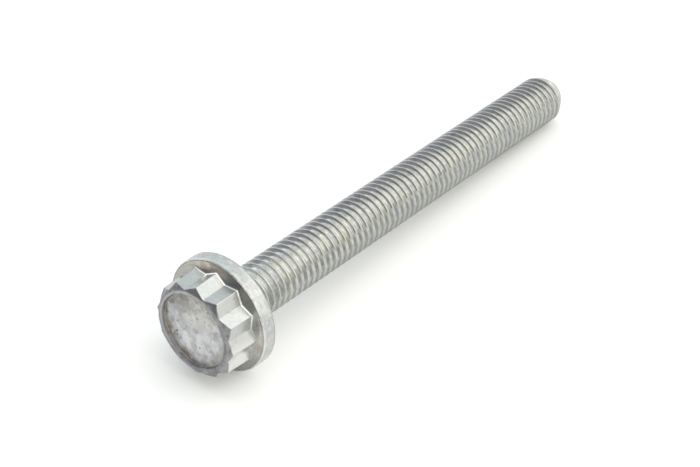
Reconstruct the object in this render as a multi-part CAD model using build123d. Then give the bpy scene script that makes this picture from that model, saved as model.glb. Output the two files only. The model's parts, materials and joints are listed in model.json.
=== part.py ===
from build123d import *
import math
import os

# Flange bolt, forged in one piece: a bi-hexagon (12-point) drive with a dished crown, a round
# flange with a sloping top, and a shank threaded along its whole length, with a tapered point.
#
# The bolt is drawn on its own axis first: the bearing face under the flange is at Z = 0, the
# drive stands above it and the shank runs down. It is then laid on its side as it comes to rest,
# on the flange's rim and the last full thread, with the shank towards +X, and centred on the
# origin. The shank is drawn at the thread's crests, without the thread's grooves.
#
# Lengths are in millimetres and angles in degrees.

# ---- Shank ----
shank_length = 80.0           # bearing face to the end of the point
thread_diameter = 7.97        # over the crests: 8 mm coarse thread, 1.25 mm pitch, right-handed
neck_radius = 0.4             # fillet between the shank and the bearing face
point_diameter = 5.6          # flat end of the point
point_angle = 30.0            # side of the point, from the bolt's axis

# ---- Flange ----
flange_overhang = 1.2         # how far the rim stands out past the drive's corners
flange_edge_height = 2.3      # thickness at the rim
flange_slope = 14.0           # rise of the flange's top towards the drive
flange_edge_bevel = 0.2       # both edges of the rim

# ---- Drive ----
across_flats = 13.0           # each hexagon of the drive, at the height of the rim's top edge
draft_angle = 2.5             # taper of the drive's walls, left by the forging die
head_height = 7.15            # bearing face to the crown
ridge_radius = 0.12           # rounding along the drive's 12 ridges
notch_radius = 0.3            # rounding along the 12 notches between them
foot_radius = 0.25            # fillet between the drive's walls and the flange, below notch_radius
head_turn = 28.2              # one ridge of the drive, from straight up towards +Y, as it lies

# ---- Crown ----
crown_angle = 25.0            # chamfer that trims the drive's ridges, from the crown's plane
crown_land = 0.4              # flat ring between the recess and the chamfer
recess_wall = 0.55            # least metal between the recess and a notch of the drive
recess_depth = 0.8
recess_draft = 10.0           # taper of the recess's wall
recess_lip_radius = 0.25
recess_floor_radius = 0.2

# ---- Worked out from the sizes above ----
points_apart = 30.0           # two hexagons, one turned by half a side, make 12 points
drive_height = head_height - flange_edge_height
crown_flats = across_flats - 2 * drive_height * math.tan(math.radians(draft_angle))
ridge_reach = across_flats / 2 / math.cos(math.radians(30))
crown_notch_reach = crown_flats / 2 / math.cos(math.radians(points_apart / 2))
flange_reach = ridge_reach + flange_overhang
recess_reach = crown_notch_reach - recess_wall
land_reach = recess_reach + crown_land
thread_reach = thread_diameter / 2
point_reach = point_diameter / 2
point_length = (thread_reach - point_reach) / math.tan(math.radians(point_angle))


def turned(*points):
    """Turn the outline through points of (radius, height) about the bolt's axis."""
    outline = Polyline(*[(radius, 0, height) for radius, height in points], close=True)
    return revolve(make_face(outline), axis=Axis.Z)


def make_shank():
    """Make the shank and its point. It starts inside the flange."""
    return turned(
        (0, flange_edge_height),
        (thread_reach, flange_edge_height),
        (thread_reach, point_length - shank_length),
        (point_reach, -shank_length),
        (0, -shank_length),
    )


def make_flange():
    """Make the flange: its top is a low cone, and both edges of its rim are bevelled."""
    face_reach = flange_reach - flange_edge_bevel
    rise = face_reach * math.tan(math.radians(flange_slope))
    return turned(
        (0, 0),
        (face_reach, 0),
        (flange_reach, flange_edge_bevel),
        (flange_reach, flange_edge_height - flange_edge_bevel),
        (face_reach, flange_edge_height),
        (0, flange_edge_height + rise),
    )


def drive_section(flats):
    """Draw the drive's 12-point outline, with rounded ridges and notches, and a notch on +X."""
    hexagon = Rot(0, 0, points_apart / 2) * RegularPolygon(flats / 2, 6, major_radius=False)
    outline = hexagon + Rot(0, 0, points_apart) * hexagon
    between = flats / 2 / math.cos(math.radians(20))
    ridges = [corner for corner in outline.vertices() if math.hypot(corner.X, corner.Y) > between]
    outline = fillet(ridges, ridge_radius)
    notches = [
        corner for corner in outline.vertices()
        if abs(math.hypot(corner.X, corner.Y) * math.cos(math.radians(15)) - flats / 2) < 0.001
    ]
    return fillet(notches, notch_radius)


def make_drive():
    """Make the drive: a drafted 12-point prism, its ridges trimmed by the crown's chamfer."""
    foot = Pos(0, 0, flange_edge_height) * drive_section(across_flats)
    top = Pos(0, 0, head_height) * drive_section(crown_flats)
    chamfer_drop = (flange_reach - land_reach) * math.tan(math.radians(crown_angle))
    crown = turned(
        (0, flange_edge_height),
        (flange_reach, flange_edge_height),
        (flange_reach, head_height - chamfer_drop),
        (land_reach, head_height),
        (0, head_height),
    )
    return loft([foot, top], ruled=True) & crown


def make_recess():
    """Make the stamp that presses the dish into the crown, with its lower edge rounded."""
    floor = head_height - recess_depth
    floor_reach = recess_reach - recess_depth * math.tan(math.radians(recess_draft))
    stamp = turned(
        (0, floor),
        (floor_reach, floor),
        (recess_reach, head_height),
        (recess_reach, head_height + recess_depth),
        (0, head_height + recess_depth),
    )
    return fillet(stamp.edges().group_by(Axis.Z)[0], recess_floor_radius)


def make_bolt():
    """Join the flange, drive and shank into one forging, and round where they meet."""
    flange = make_flange()
    drive = make_drive()
    head = flange + drive
    head = fillet(new_edges(flange, drive, combined=head), foot_radius)
    head = head - make_recess()
    lip = head.edges().group_by(Axis.Z)[-1].sort_by(SortBy.RADIUS)[0]
    head = fillet(lip, recess_lip_radius)
    shank = make_shank()
    bolt = head + shank
    return fillet(new_edges(head, shank, combined=bolt), neck_radius)


def rest_tilt():
    """Work out how far the axis dips when the rim and the last full thread touch down."""
    run = shank_length - point_length - flange_edge_bevel
    fall = flange_reach - thread_reach
    return math.degrees(math.atan2(fall, run))


def lay_down(bolt):
    """Turn the bolt onto its side, with its shank towards +X, and stand it on the origin."""
    tilt = rest_tilt()
    tipped_bolt = Rot(0, tilt - 90, 0) * Rot(0, 0, head_turn - points_apart / 2) * bolt
    box = tipped_bolt.bounding_box()
    seat = Vector(-box.center().X, 0, -box.min.Z)
    print(f"the axis dips {tilt:.4f} degrees towards +X")
    print(f"centre of the bearing face: ({seat.X:.4f}, {seat.Y:.4f}, {seat.Z:.4f}) mm")
    return Pos(seat) * tipped_bolt


os.makedirs("parts", exist_ok=True)
export_step(lay_down(make_bolt()), "parts/flange_bolt.step")
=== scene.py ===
"""Flange bolt: its looks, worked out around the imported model.

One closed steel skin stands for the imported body: a dished crown, a 12-point drive, a flange and
a threaded shank, all in bright zinc plate. Shapes are worked out in millimetres on the bolt's
own axis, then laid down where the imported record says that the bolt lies.
"""

import json
import logging
import math
from collections.abc import Callable, Sequence
from dataclasses import dataclass, field
from enum import Enum, IntEnum
from typing import Any

import bpy
import numpy as np
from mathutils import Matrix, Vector


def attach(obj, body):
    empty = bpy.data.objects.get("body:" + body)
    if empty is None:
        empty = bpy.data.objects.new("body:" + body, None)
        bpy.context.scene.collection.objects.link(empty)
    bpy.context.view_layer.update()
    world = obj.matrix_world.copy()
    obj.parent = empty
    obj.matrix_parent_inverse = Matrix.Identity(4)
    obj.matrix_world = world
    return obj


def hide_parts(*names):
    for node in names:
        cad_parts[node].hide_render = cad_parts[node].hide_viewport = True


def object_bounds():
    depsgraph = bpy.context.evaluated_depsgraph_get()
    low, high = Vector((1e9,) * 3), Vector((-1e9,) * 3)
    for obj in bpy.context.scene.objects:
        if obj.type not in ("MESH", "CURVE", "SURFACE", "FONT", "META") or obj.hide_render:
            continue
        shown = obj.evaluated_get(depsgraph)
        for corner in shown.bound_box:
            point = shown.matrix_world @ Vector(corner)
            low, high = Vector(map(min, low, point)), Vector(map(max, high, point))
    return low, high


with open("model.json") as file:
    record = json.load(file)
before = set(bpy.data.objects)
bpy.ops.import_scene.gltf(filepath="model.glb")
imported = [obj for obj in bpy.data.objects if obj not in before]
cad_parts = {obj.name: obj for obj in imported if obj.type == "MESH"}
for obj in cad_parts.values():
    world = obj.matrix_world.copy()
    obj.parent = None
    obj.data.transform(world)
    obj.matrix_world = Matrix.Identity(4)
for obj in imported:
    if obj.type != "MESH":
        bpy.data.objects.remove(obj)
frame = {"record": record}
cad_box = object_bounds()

LOG = logging.getLogger("flange_bolt")
MM = 0.001  # metres in a millimetre
PIECE = "bolt_steel"
BODY = "root"
NODE = "flange_bolt"
SECTORS = 12  # points of the drive
POINTS_APART = math.tau / SECTORS
WELD_DIGITS = 6  # of a millimetre, to which points that share a place agree
Array = np.ndarray
Pair = tuple[float, float]
Colour = tuple[float, float, float]
Surface = Callable[[Array], Array]  # gives a height for (up, side) points
Settings = dict[str, Any]  # values, by the name of a node's property
Inputs = dict[str | int, Any]  # values, Signals or sockets, by a node input's name or number


class Zone(IntEnum):
    """The surfaces of the bolt that have a finish of their own, in the order of their slots."""

    DISH = 0
    CROWN = 1
    WALLS = 2
    FLANGE_TOP = 3
    RIM = 4
    BEARING = 5
    THREAD = 6


# ---- Shapes: helpers on whole arrays ----


def eased(low: float, high: float, at: Array) -> Array:
    """Rise smoothly from 0 at low to 1 at high: 3 way squared less 2 way cubed."""
    way = np.clip((at - low) / (high - low), 0.0, 1.0)
    return way * way * (3.0 - 2.0 * way)


def unit(angle: Array) -> Array:
    """Give the unit vectors at these angles, as (cosine, sine) in the last axis."""
    return np.stack([np.cos(angle), np.sin(angle)], axis=-1)


def turned(points: Array, angle: float) -> Array:
    """Turn plane points about the axis by an angle in radians."""
    cosine, sine = math.cos(angle), math.sin(angle)
    return points @ np.array([[cosine, sine], [-sine, cosine]])


def raised(plane: Array, height: Array | float) -> Array:
    """Join (up, side) points with one height for all, or one for each."""
    heights = np.broadcast_to(height, plane.shape[:-1])
    return np.concatenate([plane, heights[..., None]], axis=-1)


def revolved(profile: Array, angles: Array) -> Array:
    """Turn (radius, height) rows round the axis, into a ring of points for each row."""
    return raised(profile[:, None, :1] * unit(angles), profile[:, 1:])


def bumps(plane: Array, middles: Array, widths: Array, rises: Array) -> Array:
    """Add up round bumps: each is its rise over e to the power (distance / width) squared."""
    apart = np.linalg.norm(plane[..., None, :] - middles, axis=-1)
    return (rises * np.exp(-((apart / widths) ** 2))).sum(axis=-1)


@dataclass(frozen=True)
class Ripple:
    """A seeded smooth irregularity: a sum of plane waves with their own directions and phases."""

    seed: int
    wavelength: float
    waves: int = 24
    stretch: Pair = (0.7, 1.5)  # of the wavelength, from wave to wave

    def at(self, points: Array) -> Array:
        """Work out the ripple: the sum of cos(2 pi p.d / wavelength + phase), scaled to about 1.

        Args:
            points: places in mm, with x, y and z in the last axis.

        Returns:
            One number for each place, nearly all between -1 and 1.
        """
        draw = np.random.default_rng(self.seed)
        directions = draw.normal(size=(self.waves, 3))
        directions /= np.linalg.norm(directions, axis=1, keepdims=True)
        lengths = self.wavelength * draw.uniform(*self.stretch, self.waves)
        phases = draw.uniform(0.0, math.tau, self.waves)
        angles = points @ (directions / lengths[:, None]).T * math.tau + phases
        return np.cos(angles).sum(axis=-1) / math.sqrt(self.waves)

    def depth(self, points: Array) -> Array:
        """Give 1 plus the ripple, held between 0 and 2, for what is only ever taken away."""
        return 1 + np.clip(self.at(points), -1, 1)


def rounded_profile(corners: Sequence[tuple[float, float, float, int]]) -> Array:
    """Round the corners of an open profile with arcs that touch both sides.

    Each corner is (radius, height, rounding, steps). The arc starts rounding x tan(half the
    turn) before the corner, and its centre lies straight inwards from there. Its points are
    that centre plus the rounding along normals that turn evenly from one side's to the
    other's.

    Args:
        corners: the profile's corners; the first and the last stay as they are.

    Returns:
        The profile's points, as (radius, height) rows.
    """
    places = np.array([corner[:2] for corner in corners])
    ways = np.diff(places, axis=0)
    ways /= np.linalg.norm(ways, axis=1, keepdims=True)
    rows = [places[:1]]
    for here, into, out, corner in zip(places[1:], ways, ways[1:], corners[1:]):
        rounding, steps = corner[2:]
        turn = math.atan2(into[0] * out[1] - into[1] * out[0], into @ out)
        outward = math.copysign(1.0, turn) * np.array([into[1], -into[0]])
        start = here - into * rounding * math.tan(abs(turn) / 2)
        sweep = math.atan2(outward[1], outward[0]) + np.linspace(0.0, turn, steps + 1)
        rows.append(start + rounding * (unit(sweep) - outward))
    rows.append(places[-1:])
    return np.concatenate(rows)


def spread(profile: Array, longest: float) -> Array:
    """Divide the long runs of a profile, so that no step is longer than a given length.

    Args:
        profile: (radius, height) rows.
        longest: the longest step in mm.

    Returns:
        The profile with the added rows.
    """
    runs = np.diff(profile, axis=0)
    lengths = np.linalg.norm(runs, axis=1)
    counts = np.maximum(np.ceil(lengths / longest).astype(int), 1)
    shares = np.concatenate([np.arange(count) / count for count in counts])[:, None]
    starts, runs = np.repeat(profile[:-1], counts, axis=0), np.repeat(runs, counts, axis=0)
    return np.concatenate([starts + runs * shares, profile[-1:]])


@dataclass
class Skin:
    """A closed surface put together from grids of points, in mm on the bolt's axis.

    Points are (up, side, height). A face holds four point numbers; a triangle repeats one,
    and so a ring whose points are all the centre closes a disc.
    """

    points: list[Array] = field(default_factory=list)
    faces: list[Array] = field(default_factory=list)
    zones: list[Array] = field(default_factory=list)
    count: int = 0

    def add(self, points: Array) -> Array:
        """Add points and give their numbers, in the shape of the array they came in.

        Args:
            points: places as (up, side, height), in an array of any shape.

        Returns:
            One number for each point.
        """
        flat = points.reshape(-1, 3)
        self.points.append(flat)
        numbers = np.arange(self.count, self.count + len(flat)).reshape(points.shape[:-1])
        self.count += len(flat)
        return numbers

    def cover(self, corners: Sequence[Array], zone: Zone) -> None:
        """Add one face for each place of four arrays of point numbers, all in one zone.

        Args:
            corners: four arrays of point numbers, in the order of a face's corners.
            zone: the surface that the faces belong to.
        """
        quads = np.stack([corner.ravel() for corner in corners], axis=-1)
        self.faces.append(quads)
        self.zones.append(np.full(len(quads), int(zone)))

    def bridge(self, rows: Array, zone: Zone) -> None:
        """Cover the bands between rows of closed rings, each ring's last column to its first."""
        after = np.roll(rows, -1, axis=1)
        self.cover([rows[:-1], rows[1:], after[1:], after[:-1]], zone)

    def run(self, last: Array, rings: Array, zone: Zone) -> Array:
        """Carry the skin on from its last ring over rings of points, and give the new last ring.

        Args:
            last: the point numbers of the last ring, which may all be one point.
            rings: rows of rings of points.
            zone: the surface that the bands between them belong to.

        Returns:
            The point numbers of the last of the rings.
        """
        rows = np.concatenate([last[None], self.add(rings)])
        self.bridge(rows, zone)
        return rows[-1]

    def thin_out(self, fine: Array, coarse: Array, zone: Zone) -> None:
        """Cover a flat band from a ring to one with a fraction of its points.

        Each coarse step takes a fan of triangles from each of its two ends, and one between.

        Args:
            fine: the point numbers of the outer ring.
            coarse: the point numbers of the inner ring, whose first point faces the outer's.
            zone: the surface that the band belongs to.
        """
        share = len(fine) // len(coarse)
        closed = np.append(fine, fine[0])
        edge = [closed[step : len(fine) - share + step + 1 : share] for step in range(share + 1)]
        after = np.roll(coarse, -1)
        for step in range(share):
            near = coarse if step < share / 2 else after
            self.cover([edge[step], near, edge[step + 1], edge[step + 1]], zone)
        self.cover([edge[(share + 1) // 2], coarse, after, after], zone)

    def welded(self) -> tuple[Array, Array, Array]:
        """Merge the points that share a place and drop the faces that this closes up.

        Returns:
            The points, the faces as four point numbers, and each face's zone.
        """
        points = np.concatenate(self.points)
        _, first, numbers = np.unique(
            np.round(points, WELD_DIGITS), axis=0, return_index=True, return_inverse=True
        )
        faces = numbers.reshape(-1)[np.concatenate(self.faces)]
        zones = np.concatenate(self.zones)
        sides = (faces != np.roll(faces, -1, axis=1)).sum(axis=1)
        opposite = (faces[:, 0] != faces[:, 2]) & (faces[:, 1] != faces[:, 3])
        kept = (sides == 3) | ((sides == 4) & opposite)
        return points[first], faces[kept], zones[kept]

    def mesh(self, name: str, place: Callable[[Array], Array]) -> bpy.types.Mesh:
        """Put the welded surface into a mesh, with foreach_set.

        Args:
            name: the mesh's name.
            place: turns points on the bolt's axis into points of the row frame, in metres.

        Returns:
            The mesh, smooth shaded, each face in its zone's material slot.
        """
        points, faces, zones = self.welded()
        points = place(points)
        keep = faces != np.roll(faces, 1, axis=1)
        sizes = keep.sum(axis=1)
        starts = np.concatenate([[0], np.cumsum(sizes)[:-1]])
        mesh = bpy.data.meshes.new(name)
        mesh.vertices.add(len(points))
        mesh.vertices.foreach_set("co", points.astype(np.float32).ravel())
        mesh.loops.add(int(sizes.sum()))
        mesh.loops.foreach_set("vertex_index", faces[keep].astype(np.int32))
        mesh.polygons.add(len(sizes))
        mesh.polygons.foreach_set("loop_start", starts.astype(np.int32))
        mesh.polygons.foreach_set("material_index", zones.astype(np.int32))
        mesh.polygons.foreach_set("use_smooth", np.ones(len(sizes), dtype=bool))
        mesh.update(calc_edges=True)
        mesh.validate()
        mesh.normals_split_custom_set_from_vertices(self.smooth_normals(points, faces))
        return mesh

    @staticmethod
    def smooth_normals(points: Array, faces: Array) -> Array:
        """Give each point the sum of its faces' normals, each as long as its face is large.

        A face's normal times twice its area is the cross product of its diagonals. So large
        flat faces stay flat in the shading.

        Args:
            points: the welded points.
            faces: four point numbers a face.

        Returns:
            A unit normal for each point.
        """
        corners = points[faces]
        across = np.cross(corners[:, 2] - corners[:, 0], corners[:, 3] - corners[:, 1])
        total = np.zeros_like(points)
        for corner in range(4):
            np.add.at(total, faces[:, corner], across)
        return total / np.linalg.norm(total, axis=1, keepdims=True)


@dataclass(frozen=True)
class Lie:
    """Where the bolt lies in the row frame: its bearing face's centre and its own directions."""

    bearing: Array
    head: Array
    up: Array
    side: Array

    @classmethod
    def from_record(cls, record: dict[str, Any], head_height: float) -> "Lie":
        """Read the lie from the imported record's drive mount, which is the crown's centre.

        Args:
            record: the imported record.
            head_height: from the bearing face to the crown, in mm.

        Returns:
            The lie of the bolt.
        """
        drive = next(mount for mount in record["mounts"] if mount["name"] == "drive")
        head = np.array(drive["axis"]) / np.linalg.norm(drive["axis"])
        side = np.array([0.0, 1.0, 0.0])
        bearing = np.array(drive["pos_m"]) - head * head_height * MM
        return cls(bearing, head, np.cross(side, head), side)

    def place(self, points: Array) -> Array:
        """Lay points on the bolt's axis, in mm, into the row frame, in metres."""
        directions = np.stack([self.up, self.side, self.head])
        return self.bearing + points @ directions * MM


def shown(name: str, data: bpy.types.ID) -> bpy.types.Object:
    """Make an object of a mesh, lamp or camera, and link it to the scene.

    Args:
        name: the object's name.
        data: its mesh, lamp or camera.

    Returns:
        The object.
    """
    made = bpy.data.objects.new(name, data)
    bpy.context.scene.collection.objects.link(made)
    return made


# ---- The bolt's parts ----


@dataclass(frozen=True)
class Drive:
    """The 12-point drive: two hexagons, one turned by half a side, with drafted walls.

    Lengths are in mm and angles in degrees.
    """

    across_flats: float = 13.0
    foot_height: float = 2.3
    draft: float = 2.5
    ridge_radius: float = 0.12
    notch_radius: float = 0.3
    foot_radius: float = 0.20
    crown_radius: float = 0.12
    turn: float = 28.2
    ridge_steps: int = 3
    notch_steps: int = 4
    flat_shares: tuple[float, ...] = (0.012, 0.04, 0.2, 0.4, 0.6, 0.8, 0.96)
    settling: int = 6  # rounds of looking for the height at which a wall meets a surface
    probe: float = 0.05  # how far to each side a surface's slope is taken

    @property
    def columns(self) -> int:
        """Count the points of one ring round the drive."""
        return SECTORS * 2 * (self.ridge_steps + self.notch_steps + len(self.flat_shares) + 1)

    @property
    def bearings(self) -> Array:
        """Give the even angles of the columns away from the drive, in radians from up."""
        return math.radians(self.turn) + np.arange(self.columns) * math.tau / self.columns

    def outline(self, heights: Array) -> tuple[Array, Array]:
        """Work out the 12-point outline at a height, with rounded ridges and notches.

        Half a sector runs from a ridge to a notch: an arc about a centre on the ridge's
        bisector, a straight flat, and an arc about a centre outside the notch. It is mirrored
        in the notch and repeated round the axis. Every point moves in proportion to the
        apothem, which the draft shortens with height.

        Args:
            heights: the height of each column above the bearing face.

        Returns:
            The points, and the outward normals, each as (up, side) rows.
        """
        taper = math.tan(math.radians(self.draft))
        apothem = self.across_flats / 2 - (heights - self.foot_height) * taper
        tilt = POINTS_APART
        swing = unit(np.linspace(0.0, tilt, self.ridge_steps + 1))
        hollow = unit(np.linspace(tilt, tilt / 2, self.notch_steps + 1))
        tip = np.array([1 / math.cos(tilt), 0.0])
        pit = unit(np.array(tilt / 2)) / math.cos(tilt / 2)
        ridge = np.stack([self.ridge_radius * (swing - tip), 0 * swing + tip])
        notch = np.stack([self.notch_radius * (pit - hollow), 0 * hollow + pit])
        shares = np.array(self.flat_shares)[:, None]
        flat = ridge[:, -1:] + shares * (notch[:, :1] - ridge[:, -1:])
        normal = np.concatenate([swing, 0 * shares + unit(np.array(tilt)), hollow])
        half = np.concatenate([ridge, flat, notch], axis=1)
        half = np.concatenate([half, normal[None]])
        mirror = np.array([[math.cos(tilt), math.sin(tilt)], [math.sin(tilt), -math.cos(tilt)]])
        sector = np.concatenate([half, (half[:, 1:-1] @ mirror)[:, ::-1]], axis=1)
        turns = math.radians(self.turn) + POINTS_APART * np.arange(SECTORS)
        ring = np.concatenate([turned(sector, angle) for angle in turns], axis=1)
        return ring[0] + ring[1] * apothem[..., None], ring[2]

    def corner(self, surface: Surface, radius: float, steps: int, hollow: bool) -> Array:
        """Round the corner between the wall and a surface above or below it.

        The corner's height is fed back a few times into the outline that it belongs to. In
        the plane across each column, both sides are then straight. The arc's centre is the
        corner plus or less radius (n + m) / (1 + n.m), with n the wall's normal and m the
        surface's, and its points lie a radius away, along normals that turn from m to n.

        Args:
            surface: gives a height for (up, side) points.
            radius: the rounding in mm.
            steps: how many steps the arc takes.
            hollow: True for the foot, and False for the crown's edge.

        Returns:
            Rows of rings from the surface's end to the wall's, as (up, side, height).
        """
        heights = np.full(self.columns, self.foot_height)
        for _ in range(self.settling):
            heights = surface(self.outline(heights)[0])
        plane, normals = self.outline(heights)
        aside = normals * self.probe
        slope = (surface(plane + aside) - surface(plane - aside)) / (2 * self.probe)
        slant = np.arctan(-slope)
        above = np.stack([np.sin(slant), np.cos(slant)], axis=-1)
        lean = math.radians(self.draft)
        wall = unit(np.array(lean))
        rounding = radius if hollow else -radius
        centre = rounding * (wall + above) / (1 + above @ wall)[:, None]
        start = np.arctan2(above[:, 1], above[:, 0])
        angles = start + np.linspace(0.0, 1.0, steps + 1)[:, None] * (lean - start)
        arc = centre - rounding * unit(angles)
        return raised(plane + arc[..., :1] * normals, heights + arc[..., 1])


@dataclass(frozen=True)
class Crown:
    """The top of the drive: a raised ring round a pressed dish, and a chamfer outside it.

    Each knock on the chamfer is (angle, reach, width, rise), and a rise below 0 is a dent.
    Ranges are (least, most).
    """

    height: float = 7.15
    chamfer: float = 25.0
    waviness: float = 0.05  # of the chamfer
    blend: float = 0.3  # outside the ring, where the chamfer's unevenness starts
    ring_reach: float = 6.34
    ring_lead: float = 0.07  # of the chamfer, turned with the ring
    ring_rounding: float = 0.10
    lip_reach: float = 6.13
    lip_height: float = 7.02
    lip_rounding: float = 0.07
    out_of_round: float = 0.006
    longest_step: float = 0.12
    dish_reach: float = 6.05
    dish_height: float = 6.48
    dish_rounding: float = 0.14
    dish_lead: float = 0.35  # of the dish's floor, turned with the wall
    dish_rows: int = 24
    dish_rings: int = 5  # of the ring's, that have the dish's finish
    crowding: float = 0.85  # of the dish's rows, towards its wall
    dish_shift: Pair = (-0.10, 0.22)
    dish_shrink: float = 0.42
    dish_calm: Pair = (0.8, 0.3)  # inside dish_reach, where the relief fades and is gone
    ripple: Ripple = Ripple(seed=11, wavelength=3.2)
    ripple_height: float = 0.030
    grain: Ripple = Ripple(seed=12, wavelength=0.9)
    grain_height: float = 0.010
    pits: int = 46
    pit_seed: int = 5
    pit_reach: float = 5.2
    pit_shares: Pair = (0.02, 1.0)  # of the area inside pit_reach
    pit_widths: Pair = (0.09, 0.2)
    pit_depths: Pair = (0.02, 0.08)
    knocks: tuple[tuple[float, float, float, float], ...] = (
        (58.2, 7.35, 0.80, -0.42),
        (88.2, 7.30, 0.50, -0.05),
        (208.2, 7.35, 0.60, -0.28),
        (178.2, 7.35, 0.40, -0.10),
        (238.2, 7.30, 0.75, 0.30),
        (268.2, 7.35, 0.95, 0.38),
        (328.2, 7.35, 0.35, -0.10),
        (298.2, 7.35, 0.35, -0.08),
        (253.0, 6.90, 0.35, -0.08),
        (222.0, 6.80, 0.40, -0.10),
    )
    dents: int = 34
    dent_seed: int = 8
    dent_reaches: Pair = (6.7, 7.4)
    dent_widths: Pair = (0.18, 0.42)
    dent_depths: Pair = (0.02, 0.13)

    def knocked(self, plane: Array) -> Array:
        """Give how far the knocks, and smaller dents at random, raise or lower the chamfer.

        Args:
            plane: the (up, side) places.

        Returns:
            What the knocks and dents add to the height at each place.
        """
        draw = np.random.default_rng(self.dent_seed)
        angles, reaches, widths, rises = np.array(self.knocks).T
        angles = np.append(np.radians(angles), draw.uniform(0, math.tau, self.dents))
        reaches = np.append(reaches, draw.uniform(*self.dent_reaches, self.dents))
        widths = np.append(widths, draw.uniform(*self.dent_widths, self.dents))
        rises = np.append(rises, -draw.uniform(*self.dent_depths, self.dents))
        return bumps(plane, reaches[:, None] * unit(angles), widths, rises)

    def chamfer_height(self, plane: Array) -> Array:
        """Give the chamfer's height: the crown's, less the reach past the ring times its slope.

        A slow waviness only ever takes height away. Knocks raise it or lower it.

        Args:
            plane: the (up, side) places.

        Returns:
            The height at each place.
        """
        reach = np.linalg.norm(plane, axis=-1)
        fall = (reach - self.ring_reach) * math.tan(math.radians(self.chamfer))
        change = self.knocked(plane) - self.waviness * self.ripple.depth(raised(plane, 0.0))
        share = eased(self.ring_reach, self.ring_reach + self.blend, reach)
        return self.height - fall + change * share

    def profile(self) -> Array:
        """Draw the dish's wall, its lip and the raised ring, outwards from the dish's floor.

        Returns:
            The profile's points, as (radius, height) rows.
        """
        fall = self.ring_lead * math.tan(math.radians(self.chamfer))
        corners = [
            (self.dish_reach - self.dish_lead, self.dish_height, 0.0, 0),
            (self.dish_reach, self.dish_height, self.dish_rounding, 5),
            (self.lip_reach, self.lip_height, self.lip_rounding, 4),
            (self.ring_reach, self.height, self.ring_rounding, 5),
            (self.ring_reach + self.ring_lead, self.height - fall, 0.0, 0),
        ]
        return spread(rounded_profile(corners), self.longest_step)

    def rings(self, angles: Array) -> Array:
        """Turn the profile round the axis, slightly out of round, as stamped metal is.

        Args:
            angles: the columns' angles in radians.

        Returns:
            Rows of rings as (up, side, height).
        """
        profile = self.profile()
        plane = profile[:, None, :1] * unit(angles)
        inner = 1 - eased(self.ring_reach - self.ring_rounding, self.ring_reach, profile[:, :1])
        wobble = 1 - self.out_of_round * self.ripple.at(raised(plane, 0.0)) * inner
        return raised(self.pressed(plane * wobble[..., None], inner[..., None]), profile[:, 1:])

    def floor(self, angles: Array) -> Array:
        """Work out the dish's floor as rings, without its centre.

        Args:
            angles: the columns' angles in radians.

        Returns:
            Rows of rings as (up, side, height).
        """
        shares = (np.arange(1, self.dish_rows) / self.dish_rows) ** self.crowding
        radii = (self.dish_reach - self.dish_lead) * shares
        return self.dished(radii[:, None, None] * unit(angles))

    def dished(self, plane: Array) -> Array:
        """Give the dish's floor at (up, side) places.

        It is level, but for a slow waviness, a finer grain and round pits at random; all of
        them die away towards the wall.

        Args:
            plane: places inside the dish, as if it were round the axis.

        Returns:
            The points, as (up, side, height).
        """
        level = raised(plane, 0.0)
        draw = np.random.default_rng(self.pit_seed)
        middles = unit(draw.uniform(0, math.tau, self.pits))
        middles *= self.pit_reach * np.sqrt(draw.uniform(*self.pit_shares, self.pits))[:, None]
        widths = draw.uniform(*self.pit_widths, self.pits)
        depths = draw.uniform(*self.pit_depths, self.pits)
        relief = bumps(plane, middles, widths, -depths)
        relief += self.ripple_height * self.ripple.at(level)
        relief += self.grain_height * self.grain.at(level)
        inner, outer = self.dish_reach - np.array(self.dish_calm)
        relief *= 1 - eased(inner, outer, np.linalg.norm(plane, axis=-1))
        return raised(self.pressed(plane, 1.0), self.dish_height + relief)

    def pressed(self, plane: Array, share: Array | float) -> Array:
        """Shrink and shift (up, side) places by a share, as the dish's punch came down askew."""
        smaller = plane * (1 - self.dish_shrink / self.dish_reach * share)
        return smaller + np.array(self.dish_shift) * share


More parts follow.
